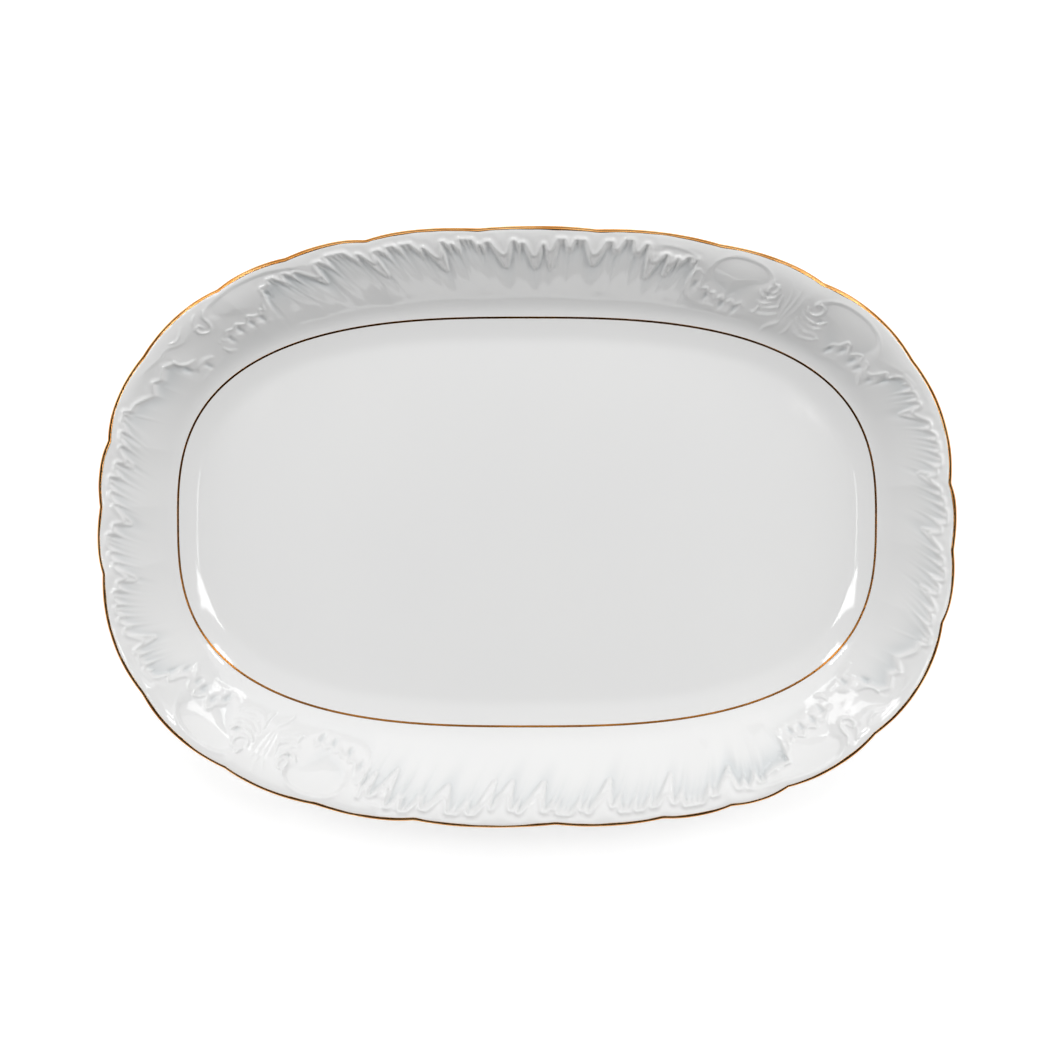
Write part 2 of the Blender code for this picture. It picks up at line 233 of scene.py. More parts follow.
# Raised strokes: (points, height in mm, half width in mm).
STROKES = (
    # first corner: volute, hooks and leaf at the end of the large panel
    (((11.9, 0.80), (11.95, 0.74), (11.75, 0.77), (11.5, 0.74), (11.42, 0.67), (11.6, 0.615),
      (11.9, 0.62), (12.1, 0.68)), 0.75, 0.75),
    (((10.95, 0.60), (11.1, 0.545), (11.4, 0.52), (11.8, 0.545), (12.15, 0.61)), 0.70, 0.70),
    (((10.85, 0.50), (11.15, 0.455), (11.6, 0.47), (12.0, 0.53)), 0.50, 0.60),
    (((10.5, 0.36), (10.9, 0.385), (11.4, 0.375), (11.8, 0.42), (12.15, 0.50)), 0.55, 0.60),
    (((10.55, 0.35), (10.9, 0.30), (11.4, 0.285), (11.85, 0.33), (12.15, 0.42)), 0.60, 0.75),
    (((11.1, 0.345), (11.5, 0.335), (11.9, 0.375)), 0.40, 0.60),
    # stem that fans out towards the rim between the two corner panels
    (((12.5, 0.44), (12.45, 0.56), (12.5, 0.68), (12.55, 0.80)), 0.16, 0.50),
    (((12.65, 0.36), (12.7, 0.50), (12.75, 0.65), (12.85, 0.80), (13.0, 0.92)), 0.20, 0.50),
    (((12.75, 0.38), (12.9, 0.52), (13.0, 0.66), (13.2, 0.78), (13.5, 0.87)), 0.20, 0.50),
    (((12.62, 0.34), (12.75, 0.29), (12.9, 0.24), (13.0, 0.18)), 0.50, 1.10),
    (((12.1, 0.36), (12.0, 0.29), (12.1, 0.22)), 0.40, 0.80),
    # second volute, crescent and leaves
    (((14.15, 0.80), (14.0, 0.75), (13.8, 0.745), (13.68, 0.69), (13.78, 0.64), (14.0, 0.645),
      (14.08, 0.69), (13.98, 0.715)), 0.65, 0.60),
    (((13.55, 0.68), (13.6, 0.60), (13.85, 0.565), (14.15, 0.58), (14.35, 0.63)), 0.75, 0.75),
    (((13.35, 0.66), (13.25, 0.57), (13.1, 0.47)), 0.40, 0.60),
    (((13.15, 0.52), (13.45, 0.46), (13.85, 0.43)), 0.60, 0.70),
    (((13.55, 0.52), (13.85, 0.485), (14.2, 0.49)), 0.45, 0.55),
    (((12.95, 0.43), (13.3, 0.37), (13.8, 0.34), (14.15, 0.355)), 0.55, 0.75),
    (((13.95, 0.47), (13.9, 0.41), (13.95, 0.34)), 0.45, 0.60),
    # ruffle under the first panel
    (((7.0, 0.73), (7.15, 0.64), (7.4, 0.665), (7.5, 0.56), (7.65, 0.475), (7.9, 0.465), (8.1, 0.53),
      (8.3, 0.545)), 0.55, 0.75),
    (((8.45, 0.50), (8.6, 0.555), (8.8, 0.525), (8.95, 0.465), (9.15, 0.475), (9.35, 0.54),
      (9.55, 0.55), (9.65, 0.46), (9.85, 0.42), (9.95, 0.34)), 0.60, 0.70),
    (((7.45, 0.28), (7.65, 0.32), (7.95, 0.385)), 0.50, 0.80),
    (((8.1, 0.33), (8.6, 0.275), (9.2, 0.265), (9.8, 0.215), (10.3, 0.225)), 0.15, 0.80),
    # ruffle under the second panel
    (((14.5, 0.36), (14.72, 0.41), (14.95, 0.365), (15.2, 0.405), (15.45, 0.375), (15.7, 0.425),
      (15.95, 0.40), (16.15, 0.46), (16.4, 0.445), (16.6, 0.50), (16.85, 0.485), (16.98, 0.56),
      (17.02, 0.62)), 0.65, 0.70),
    (((17.1, 0.67), (17.35, 0.70), (17.5, 0.64), (17.52, 0.52), (17.4, 0.40), (17.1, 0.33)), 0.55, 0.75),
    (((14.3, 0.275), (15.0, 0.25), (15.9, 0.28), (16.9, 0.315)), 0.12, 0.80),
    # third corner: volute at the end of the long scarp
    (((39.3, 0.89), (39.55, 0.82), (39.6, 0.73), (39.75, 0.655), (40.0, 0.64), (40.22, 0.69),
      (40.2, 0.76), (40.0, 0.775), (39.92, 0.72)), 0.70, 0.70),
    (((39.7, 0.91), (39.95, 0.87), (40.12, 0.82)), 0.40, 0.60),
    (((40.5, 0.90), (40.8, 0.84), (41.15, 0.82), (41.4, 0.86)), 0.40, 0.70),
    # ruffle under the long panel
    (((36.55, 0.775), (36.75, 0.75), (36.88, 0.70), (36.78, 0.655), (36.62, 0.675), (36.62, 0.72)),
     0.60, 0.60),
    (((37.0, 0.66), (37.25, 0.61), (37.35, 0.54), (37.5, 0.56), (37.7, 0.52), (37.95, 0.53),
      (38.15, 0.565), (38.35, 0.515), (38.6, 0.50), (38.85, 0.535), (39.1, 0.505), (39.4, 0.52),
      (39.7, 0.475), (40.1, 0.44)), 0.60, 0.65),
    (((37.45, 0.385), (38.0, 0.41), (38.7, 0.40), (39.4, 0.405), (40.1, 0.455)), 0.45, 0.60),
    (((40.2, 0.35), (40.15, 0.29), (39.9, 0.255)), 0.50, 0.80),
    # flame at the foot of the leaning flutes
    (((40.9, 0.365), (41.2, 0.40), (41.6, 0.40), (41.85, 0.36)), 0.75, 0.95),
    (((41.5, 0.49), (41.85, 0.525), (42.05, 0.60), (42.0, 0.68)), 0.80, 1.00),
    (((40.6, 0.29), (41.4, 0.255), (42.4, 0.22)), 0.35, 0.80),
)

STROKE_NARROWING = 0.80  # the drawn half width is narrowed by this, and the height raised
STROKE_GAIN = 1.25
SCARP_LIP = 0.22  # raised lip along a scarp, as a share of its depth

# Small pits under the ruffles, steep on their outer side and running out inwards.
PITS = ((7.15, 0.60), (7.4, 0.44), (8.2, 0.43), (8.65, 0.44), (9.35, 0.46), (9.78, 0.36), (14.85, 0.34),
        (15.55, 0.355), (16.45, 0.42), (17.2, 0.54), (36.75, 0.71), (37.75, 0.47), (38.3, 0.48),
        (38.95, 0.47), (39.6, 0.43), (41.4, 0.34), (42.1, 0.50), (11.2, 0.575), (13.9, 0.61))
PIT_DEPTH = 1.10  # these three in mm
PIT_HALF_WIDTH = 1.10
PIT_RUN = 4.5


def flange_mm(points):
    """Plan, in millimetres, of places given as (percent, share)."""
    places = np.asarray(points, dtype=float)
    return flange_plan(places[..., 0], places[..., 1]) / MM


def smooth_path(points, spacing=0.18):
    """A dense smooth path, in plan, through places on the flange (Catmull-Rom)."""
    knots = flange_mm(points)
    knots = np.vstack([2.0 * knots[0] - knots[1], knots, 2.0 * knots[-1] - knots[-2]])
    dense = []
    for p0, p1, p2, p3 in zip(knots, knots[1:], knots[2:], knots[3:]):
        count = max(2, int(np.hypot(*(p2 - p1)) / spacing))
        t = np.linspace(0.0, 1.0, count, endpoint=False)[:, None]
        dense.append(
            0.5 * (2.0 * p1 + (p2 - p0) * t + (2.0 * p0 - 5.0 * p1 + 4.0 * p2 - p3) * t**2
                   + (3.0 * p1 - p0 - 3.0 * p2 + p3) * t**3)
        )
    dense.append(knots[-2][None])
    return np.vstack(dense)


def nearest(plan, path, reach):
    """For the grid points within reach of a path: their indices, distance and place along it."""
    low, high = path.min(axis=0) - reach, path.max(axis=0) + reach
    inside = np.nonzero(np.all((plan > low) & (plan < high), axis=1))[0]
    tree = kdtree.KDTree(len(path))
    for index, point in enumerate(path):
        tree.insert((point[0], point[1], 0.0), index)
    tree.balance()
    found = [tree.find((x, y, 0.0))[1:] for x, y in plan[inside]]
    place = np.array([item[0] for item in found], dtype=int)
    distance = np.array([item[1] for item in found])
    return inside, distance, place


def side_offset(plan, path, place):
    """Distance from a path, positive to its left as it runs and negative to its right."""
    after = np.clip(place + 3, 0, len(path) - 1)
    before = np.clip(place - 3, 0, len(path) - 1)
    run = path[after] - path[before]
    off = plan - path[place]
    return (run[:, 0] * off[:, 1] - run[:, 1] * off[:, 0]) / np.hypot(run[:, 0], run[:, 1])


def end_fade(plan, path, fade_in, fade_out):
    """1 beside the middle of a path, fading to 0 towards both of its ends without any jump."""
    marks = np.linspace(0, len(path) - 1, 48).astype(int)
    along = marks / (len(path) - 1.0)
    fade = ease(along, 0.5 * fade_in, fade_in + 0.08)
    fade = fade * (1.0 - ease(along, 0.92 - fade_out, 1.0 - 0.5 * fade_out))
    away = np.hypot(plan[:, None, 0] - path[None, marks, 0], plan[:, None, 1] - path[None, marks, 1])
    weight = np.exp(-(away - away.min(axis=1, keepdims=True)) / 1.6)
    return (weight * fade).sum(axis=1) / weight.sum(axis=1)


def half_turns(points):
    """The drawn motif and its copy half a turn further on."""
    for turn in (0.0, HALF_TURN):
        yield [(percent + turn, share) for percent, share in points]


def wrapped_table(table):
    """A drawn table repeated over one and a half turns each way, ready for interpolation."""
    places, values = [], []
    for turn in (-2, -1, 0, 1, 2):
        for place, value in table:
            places.append(place + turn * HALF_TURN)
            values.append(value)
    return np.array(places), np.array(values)


def lean_table():
    """The flutes' lean over one turn each way, ready for interpolation."""
    places = [place + turn for turn in (-100.0, 0.0, 100.0) for place, _ in LEAN]
    return np.array(places), np.tile([lean for _, lean in LEAN], 3)


ARCHES = (
    list(LONG_SIDE) + list(SHORT_SIDE)
    + [(start + FRONT_SHIFT, end + FRONT_SHIFT, top) for start, end, top in LONG_SIDE]
    + [(start + HALF_TURN, end + HALF_TURN, top) for start, end, top in SHORT_SIDE]
)
LEAVES = (
    list(LONG_LEAVES) + list(SHORT_LEAVES)
    + [(place + FRONT_SHIFT, tip, half) for place, tip, half in LONG_LEAVES]
    + [(place + HALF_TURN, tip, half) for place, tip, half in SHORT_LEAVES]
)


def round_offset(places, marks):
    """For each place: its offset in percent from the nearest mark, and that mark's number."""
    marks = np.array(sorted(np.mod(mark, 100.0) for mark in marks))
    wrapped = np.mod(places, 100.0)
    ringed = np.concatenate([[marks[-1] - 100.0], marks, [marks[0] + 100.0]])
    after = np.clip(np.searchsorted(ringed, wrapped), 1, len(ringed) - 1)
    left, right = wrapped - ringed[after - 1], ringed[after] - wrapped
    nearer = np.where(left < right, after - 1, after)
    return wrapped - ringed[nearer], (nearer - 1) % len(marks)


def in_corner(percents):
    """Where the raised margin belongs to a corner panel and not to a fringe."""
    half = np.mod(percents, HALF_TURN)
    return ((half > 6.6) & (half < 17.6)) | ((half > 36.8) & (half < 44.95))


def fringe_edge(places):
    """Inner limit of the fringe at each upright place: arches with swags between them."""
    wrapped = np.mod(places, 100.0)
    arches = sorted((start % 100.0, end % 100.0, top) for start, end, top in ARCHES)
    starts = np.array([arch[0] for arch in arches])
    ends = np.array([arch[1] if arch[1] > arch[0] else arch[1] + 100.0 for arch in arches])
    tops = np.array([arch[2] for arch in arches])
    number = np.searchsorted(starts, wrapped, side="right") - 1
    wrapped = np.where(number < 0, wrapped + 100.0, wrapped)
    number = number % len(arches)
    following = (number + 1) % len(arches)
    next_start = np.where(following == 0, starts[0] + 100.0, starts[following])
    start, end, top = starts[number], ends[number], tops[number]

    # inside an arch: a round top that falls away at both springings
    to_side = np.minimum(wrapped - start, end - wrapped)
    inside = to_side >= 0.0
    fall = 1.0 - ease(to_side, -0.02, 0.11)
    arch_edge = top - SPRINGING * fall
    ribs = np.round((end - start) / RIB_SPACING)
    tooth = (1.0 - np.abs(np.sin(np.pi * ribs * (wrapped - start) / (end - start)))) ** 2
    arch_edge = arch_edge - np.where(ribs > 1, 0.030 * tooth * (1.0 - fall), 0.0)

    # between two arches: a swag, deeper where it is wider
    gap = np.clip(next_start - end, 0.05, None)
    along = np.clip((wrapped - end) / gap, 0.0, 1.0)
    between = top + (tops[following] - top) * along
    bottom = between - SPRINGING - 0.115 * np.clip(gap / 0.75, 0.0, 1.0) ** 0.9
    swag = (between - SPRINGING) + (bottom - between + SPRINGING) * np.sin(np.pi * along) ** 0.8
    return np.where(inside, arch_edge, swag)


def crest_marks():
    """Places of the fine crests between flutes, and how strong each one is."""
    marks = []
    arches = sorted((start % 100.0, end % 100.0) for start, end, _ in ARCHES)
    for index, (start, end) in enumerate(arches):
        wide = np.mod(end - start, 100.0)
        ribs = int(round(wide / RIB_SPACING))
        for rib in range(1, ribs):
            marks.append((start + wide * rib / ribs, 0.65))
        gap = np.mod(arches[(index + 1) % len(arches)][0] - end, 100.0)
        if gap < 0.30:
            marks.append((end + 0.5 * gap, 1.0))
        elif gap < 0.50:
            marks += [(end + 0.07, 0.8), (end + gap - 0.07, 0.8)]
    return sorted((np.mod(place, 100.0), strength) for place, strength in marks)


def relief(percents, shares):
    """Height of the relief over the plain flange, in mm, on a grid of shares by percents."""
    percent = np.broadcast_to(percents[None, :], (len(shares), len(percents)))
    share = np.broadcast_to(shares[:, None], percent.shape)
    plan = flange_mm(np.stack([percent, share], axis=-1)).reshape(-1, 2)
    lean = np.interp(np.mod(percent, 100.0), *lean_table())
    upright = percent - lean * (0.85 - share)
    margin = np.interp(percent, *wrapped_table(MARGIN))
    edge = np.where(in_corner(percent), margin, fringe_edge(upright))

    # The margin's lobed edge, as a true distance in plan
    around = np.arange(0.0, 100.0, 0.01)
    edge_line = fringe_edge(around)
    leaned = np.mod(around + np.interp(around, *lean_table()) * (0.85 - edge_line), 100.0)
    corner_line = np.interp(around, *wrapped_table(MARGIN))
    line_places = np.concatenate([leaned[~in_corner(leaned)], around[in_corner(around)]])
    line_shares = np.concatenate([edge_line[~in_corner(leaned)], corner_line[in_corner(around)]])
    order = np.argsort(line_places, kind="stable")
    path = flange_mm(np.stack([line_places[order], line_shares[order]], axis=-1))
    steps = np.hypot(*np.diff(path, axis=0).T)
    fill = [path]
    for index in np.nonzero(steps > 0.3)[0]:
        between = np.arange(0.15, steps[index], 0.15)[:, None] / steps[index]
        fill.append(path[index] + (path[index + 1] - path[index]) * between)
    path = np.vstack(fill)
    tree = kdtree.KDTree(len(path))
    for index, point in enumerate(path):
        tree.insert((point[0], point[1], 0.0), index)
    tree.balance()
    band = np.nonzero((share.ravel() > 0.10) & (share.ravel() < 0.985))[0]
    distance = np.full(len(plan), 9.0)
    distance[band] = [tree.find((x, y, 0.0))[2] for x, y in plan[band]]
    distance = distance.reshape(share.shape) * np.sign(share - edge)

    # The margin stands over the flutes with a rolled lip; at a corner it slopes down to a low ledge
    fringe = ease(margin, 0.50, 0.72)
    step = LEDGE_STEP + (MARGIN_STEP - LEDGE_STEP) * np.maximum(fringe, ease(share, 0.40, 0.90))
    soft = 0.55 + 1.0 * (1.0 - fringe)
    rise = np.clip((distance + soft) / (2.0 * soft), 0.0, 1.0)
    height = step * rise * rise * (3.0 - 2.0 * rise)
    height += LIP_ROLL * fringe * np.exp(-(((distance - 0.65) / 0.60) ** 2))
    height -= LIP_GROOVE * fringe * np.exp(-(((distance - 2.6) / 1.1) ** 2))

    # Flutes: scooped sharply under the margin, fading out towards the well
    below = np.clip((edge - share) * FLANGE_MM, 0.0, None)
    depth = (1.0 - np.exp(-((below / 1.8) ** 1.6))) * np.exp(-((below / FLUTE_RUN) ** 2.0))
    outside = 1.0 - ease(distance, -0.7, 0.2)

    half = np.mod(percent, HALF_TURN)
    short_side = ease(half, 43.0, 46.0) + 1.0 - ease(half, 4.0, 7.0)

    # Pointed leaves, each with a groove between two ridges
    away, number = round_offset(upright, [place for place, _, _ in LEAVES])
    leaves = sorted((np.mod(place, 100.0), tip, half) for place, tip, half in LEAVES)
    leaf_tip = np.array([tip for _, tip, _ in leaves])[number]
    leaf_half = np.array([half for _, _, half in leaves])[number]
    inwards = np.clip((share - leaf_tip) / (0.80 - leaf_tip), -0.2, 1.4)
    leaf_width = 0.05 + leaf_half * np.clip(inwards, 0.0, None) ** 0.85
    across = np.abs(away) / leaf_width
    leaf = (1.0 - ease(across, 0.85, 1.35)) * ease(inwards, -0.04, 0.10) * fringe
    scoop = FLUTE_DEPTH * (0.15 + 0.85 * fringe) * (1.0 - 0.35 * short_side)
    height -= scoop * depth * outside * (1.0 - leaf)
    ridge = np.exp(-(((across - 0.85) / 0.26) ** 2))
    height += (0.06 * leaf + LEAF_RIDGE * ridge * fringe * ease(inwards, -0.04, 0.15)) * outside

    # Fine crests that run down between the flutes
    marks = crest_marks()
    off, number = round_offset(upright, [place for place, _ in marks])
    strength = np.array([mark[1] for mark in marks])[number]
    crest = np.exp(-((off * PERCENT_MM / CREST_HALF_WIDTH) ** 2.0)) * np.exp(-((below / FLUTE_RUN) ** 2.0))
    height += CREST_HEIGHT * strength * crest * ease(below, 0.0, 1.0) * outside * fringe * (1.0 - leaf)

    flat = height.reshape(-1)
    for points, depth, reach, fade_in, fade_out in SCARPS:
        for copy in half_turns(points):
            path = smooth_path(copy)
            inside, away, place = nearest(plan, path, reach + 1.5)
            signed = side_offset(plan[inside], path, place)
            ends = end_fade(plan[inside], path, fade_in, fade_out)
            drop = ease(signed, -0.45, 0.60 + 7.0 * (1.0 - ends)) * (1.0 - ease(away, 2.0, reach))
            lip = np.exp(-(((signed + 0.7) / 0.6) ** 2))
            flat[inside] += -depth * drop + SCARP_LIP * depth * lip * ends

    for points, tall, full_width in STROKES:
        for copy in half_turns(points):
            path = smooth_path(copy)
            half_width = STROKE_NARROWING * full_width
            inside, away, place = nearest(plan, path, 2.6 * half_width)
            along = place / (len(path) - 1.0)
            swell = 0.55 + 0.45 * np.sin(np.pi * np.clip(along, 0.0, 1.0)) ** 0.8
            flat[inside] += STROKE_GAIN * tall * swell * np.exp(-((away / (half_width * swell)) ** 2))

    for place_mark in PITS:
        for copy in half_turns([place_mark]):
            off = (np.mod(percent.reshape(-1) - copy[0][0] + 50.0, 100.0) - 50.0) * PERCENT_MM
            inwards = (copy[0][1] - share.reshape(-1)) * FLANGE_MM
            scoop = ease(inwards, -1.5, -0.1) * (1.0 - ease(inwards, 0.2, PIT_RUN))
            flat -= PIT_DEPTH * np.exp(-((off / PIT_HALF_WIDTH) ** 2)) * scoop

    # The margin lies level with the lip and the ground below it; all ends at the gilded line
    detail = flat.reshape(share.shape) * ease(share, 0.06, 0.16)
    ground = MARGIN_STEP * ease(share, 0.06, 0.88)
    return (detail - ground) * (1.0 - ease(share, 0.955, 0.99))


# ---- The wall --------------------------------------------------------------------------------
COLUMNS = 1664  # cross-sections round the relief; rows further away use every second, fourth ...
LIP_RADIUS = EDGE_THICKNESS / 2.0
LIP_INSET = 0.0002  # leaves room for the gold
DEEP_HOLLOW = 1.3  # depth, in mm, at which the glaze pooling tint and the painted shade in the hollows show fully


def column_percents(count):
    """Cross-sections closer together at the four corner panels than along the fringes."""
    fine = np.linspace(0.0, 100.0, 20001)
    half = np.mod(fine, HALF_TURN)
    corner = ease(half, 5.5, 7.0) * (1.0 - ease(half, 17.0, 18.5))
    corner = np.maximum(corner, ease(half, 35.5, 36.5) * (1.0 - ease(half, 43.5, 45.0)))
    walked = np.cumsum(0.90 + 0.15 * corner)
    walked = (walked - walked[0]) / (walked[-1] - walked[0])
    return np.interp(np.arange(count) / count, walked, fine)


def lip_point(percents, angle, lift=0.0):
    """Half-round lip: angle 90 is its top, 0 its outermost line and -90 its underside."""
    rim, outward = squared_oval(RIM_LENGTH, RIM_WIDTH, RIM_POWER, percents)
    radius = LIP_RADIUS + lift
    out = rim_swell(percents) - LIP_RADIUS - LIP_INSET + radius * math.cos(math.radians(angle))
    plan = rim + outward * out[:, None]
    middle = EDGE_TOP - LIP_RADIUS
    heights = np.full(len(plan), middle + radius * math.sin(math.radians(angle)))
    return np.column_stack([plan, heights])


def body_rows():
    """Rows of points from the middle of the floor, over the lip, to the middle of the underside."""
    percents = column_percents(COLUMNS)
    rows = []

    def sparse(step):
        return percents[::step]

    def from_line(step, distance, height):
        line, outward = squared_oval(WELL_LENGTH, WELL_WIDTH, WELL_POWER, sparse(step))
        plan = line + outward * distance
        rows.append(np.column_stack([plan, np.full(len(plan), height)]))

    def scaled(step, scale, distance, height):
        line, outward = squared_oval(WELL_LENGTH, WELL_WIDTH, WELL_POWER, sparse(step))
        plan = (line + outward * distance) * scale
        rows.append(np.column_stack([plan, np.full(len(plan), height)]))

    # Floor and cove
    for scale, step in ((0.15, 64), (0.45, 32), (0.8, 16)):
        scaled(step, scale, -COVE_WIDTH, FLOOR_TOP)
    for share in (0.0, 0.1, 0.2, 0.3, 0.4, 0.5, 0.62, 0.8, 1.0):
        distance = -COVE_WIDTH * (1.0 - share)
        from_line(8 if share < 0.15 else 4, distance, cove_height(distance))

    # Flange with its relief
    shares = np.concatenate(
        [[0.06, 0.11, 0.15], np.arange(0.19, 0.475, 0.0225), np.arange(0.48, 0.942, 0.0142), [0.96, 0.978]]
    )
    drawn = relief(percents, shares)
    heights = flange_height(shares)[:, None] + drawn * MM
    share_grid = np.broadcast_to(shares[:, None], heights.shape)
    flange = flange_plan(
        np.broadcast_to(percents[None, :], heights.shape),
        share_grid,
        LIP_RADIUS + LIP_INSET,
    )
    # How deep each point lies in a hollow: it sets the glaze pooling tint and the painted shade there
    below_ground = -drawn - MARGIN_STEP * ease(share_grid, 0.06, 0.88)
    hollow = np.clip(below_ground / DEEP_HOLLOW, 0.0, 1.0)
    grid = np.concatenate([flange, heights[..., None], hollow[..., None]], axis=-1)
    rows.append(grid[0][::2])
    rows.extend(grid[1:])

    # Lip, underside of the flange and foot land
    for angle in (82, 58, 34, 10, -14, -38, -62, -90):
        rows.append(lip_point(sparse(2), angle))
    for share in (0.90, 0.76, 0.60, 0.45, 0.30, 0.15, 0.0):
        thickness = FLANGE_THICKNESS + (EDGE_THICKNESS - FLANGE_THICKNESS) * share
        plan = flange_plan(sparse(4), np.full(len(sparse(4)), share), LIP_RADIUS + LIP_INSET)
        height = flange_height(share) - thickness
        rows.append(np.column_stack([plan, np.full(len(plan), height)]))
    under_line = LINE_HEIGHT - FLANGE_THICKNESS
    from_line(4, -0.0045, UNDERSIDE + 0.42 * (under_line - UNDERSIDE))
    from_line(4, -0.0075, UNDERSIDE + 0.10 * (under_line - UNDERSIDE))
    from_line(4, -0.0090, UNDERSIDE)
    from_line(4, -0.0140, UNDERSIDE)
    for scale, step in ((0.8, 16), (0.45, 32), (0.15, 64)):
        scaled(step, scale, -COVE_WIDTH, UNDERSIDE)
    return rows


def skin(name, rows, closed=False):
    """Mesh over rows of points.  A row may hold as many points as the last, or half or twice.

    A fourth number with a point says how much glaze pools there and how much painted shade darkens it.
    """
    bm = bmesh.new()
    pool_and_shade = bm.verts.layers.float.new("glaze_pool_and_painted_shade")
    verts = []
    for row in rows:
        verts.append([bm.verts.new(point[:3]) for point in row])
        if len(row[0]) == 4:
            for vert, point in zip(verts[-1], row):
                vert[pool_and_shade] = point[3]

    def bridge(outer, inner):
        many, few = (outer, inner) if len(outer) >= len(inner) else (inner, outer)
        ratio = len(many) // len(few)
        for index in range(len(few)):
            after = (index + 1) % len(few)
            start = index * ratio
            if ratio == 1:
                bm.faces.new((many[start], few[index], few[after], many[(start + 1) % len(many)]))
                continue
            for step in range(ratio):
                a, b = many[(start + step) % len(many)], many[(start + step + 1) % len(many)]
                bm.faces.new((a, few[index] if step < ratio / 2 else few[after], b))
                if step == ratio // 2 - 1:
                    bm.faces.new((b, few[index], few[after]))

    for above, below in zip(verts, verts[1:]):
        bridge(above, below)
    if closed:
        bridge(verts[-1], verts[0])
    else:
        bm.faces.new(verts[0])
        bm.faces.new(list(reversed(verts[-1])))
    bmesh.ops.recalc_face_normals(bm, faces=bm.faces)
    mesh = bpy.data.meshes.new(name)
    bm.to_mesh(mesh)
    bm.free()
    mesh.shade_smooth()
    piece = bpy.data.objects.new(name, mesh)
    bpy.context.scene.collection.objects.link(piece)
    return piece


def linear(hex_color):
    """An sRGB hex colour as linear red, green, blue and alpha."""
    channels = [int(hex_color[i:i + 2], 16) / 255.0 for i in (1, 3, 5)]
    return (*[c / 12.92 if c <= 0.04045 else ((c + 0.055) / 1.055) ** 2.4 for c in channels], 1.0)


def add_node(tree, kind, settings=None, **links):
    """Add a node, set its attributes or inputs, and link its inputs from other sockets."""
    node = tree.nodes.new(kind)
    for key, value in (settings or {}).items():
        if key in node.inputs:
            node.inputs[key].default_value = value
        else:
            setattr(node, key, value)
    for key, socket in links.items():
        tree.links.new(socket, node.inputs[key.replace("_", " ")])
    return node


def new_material(name):
    """A new node material, its node tree and its shader."""
    material = bpy.data.materials.new(name)
    material.use_nodes = True
    tree = material.node_tree
    return material, tree, tree.nodes["Principled BSDF"]


RIPPLES_PER_METRE = 90.0  # one ripple of the glaze in 11 mm
CLOUDS_PER_METRE = 14.0  # one cloud in the white in about 70 mm


def fired_glaze():
    """Clear feldspar glaze dipped over white porcelain and fired.

    It gives mirror-sharp reflections that ripple very slightly, over a white that is hardly clouded
    and a little cooler and darker in the deep hollows: the glaze pools there, and the darkening there
    is painted shade.
    """
    material, tree, shader = new_material("porcelain_fired_glaze")
    place = add_node(tree, "ShaderNodeTexCoord")
    ripple = add_node(
        tree, "ShaderNodeTexNoise", {"Scale": RIPPLES_PER_METRE, "Detail": 1.0, "Roughness": 0.4},
        Vector=place.outputs["Object"],
    )
    bump = add_node(
        tree, "ShaderNodeBump", {"Strength": 0.06, "Distance": 0.0006}, Height=ripple.outputs["Fac"]
    )
    cloud = add_node(
        tree, "ShaderNodeTexNoise", {"Scale": CLOUDS_PER_METRE, "Detail": 2.0},
        Vector=place.outputs["Object"],
    )
    tone = add_node(tree, "ShaderNodeValToRGB", Fac=cloud.outputs["Fac"])
    tone.color_ramp.elements[0].color = linear("#EFEFEF")
    tone.color_ramp.elements[1].color = linear("#F2F2F1")
    # Deep hollows get a cooler, darker white: partly the glaze pooling there, partly painted shade
    pooled_and_shaded = add_node(tree, "ShaderNodeAttribute", {"attribute_name": "glaze_pool_and_painted_shade"})
    tint = add_node(tree, "ShaderNodeMix", {"data_type": "RGBA"})
    tree.links.new(pooled_and_shaded.outputs["Fac"], tint.inputs[0])
    tree.links.new(tone.outputs["Color"], tint.inputs[6])
    tint.inputs[7].default_value = linear("#DEE1E2")
    tree.links.new(tint.outputs[2], shader.inputs["Base Color"])
    tree.links.new(bump.outputs["Normal"], shader.inputs["Normal"])
    shader.inputs["Roughness"].default_value = 0.05
    shader.inputs["IOR"].default_value = 1.50
    return material


body = skin("china_body_fine", body_rows())
body.data.materials.append(fired_glaze())
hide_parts("china_body")
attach(body, "root")

# ==== Gilded edge =================================================================================
# Bright gold painted by brush over the glazed lip and fired on.  It wraps from a little way in on
# the top round to the underside, and the brush leaves its inner limit slightly uneven.

GOLD_LIFT = 0.00008  # how far the film stands over the glaze
GOLD_ROOT = -0.00025  # how deep its hidden side reaches into the china


def brush_wander(percents, seed):
    """Slow unevenness of a brushed limit, between about -1 and 1."""
    rng = np.random.default_rng(seed)
    total = np.zeros(len(percents))
    for cycles in (9, 17, 31, 58, 97):
        total += math.sin(1.0) * np.sin(
            2.0 * np.pi * (cycles * percents / 100.0 + rng.random())
        ) / math.sqrt(cycles / 9.0)
    return total / 1.6


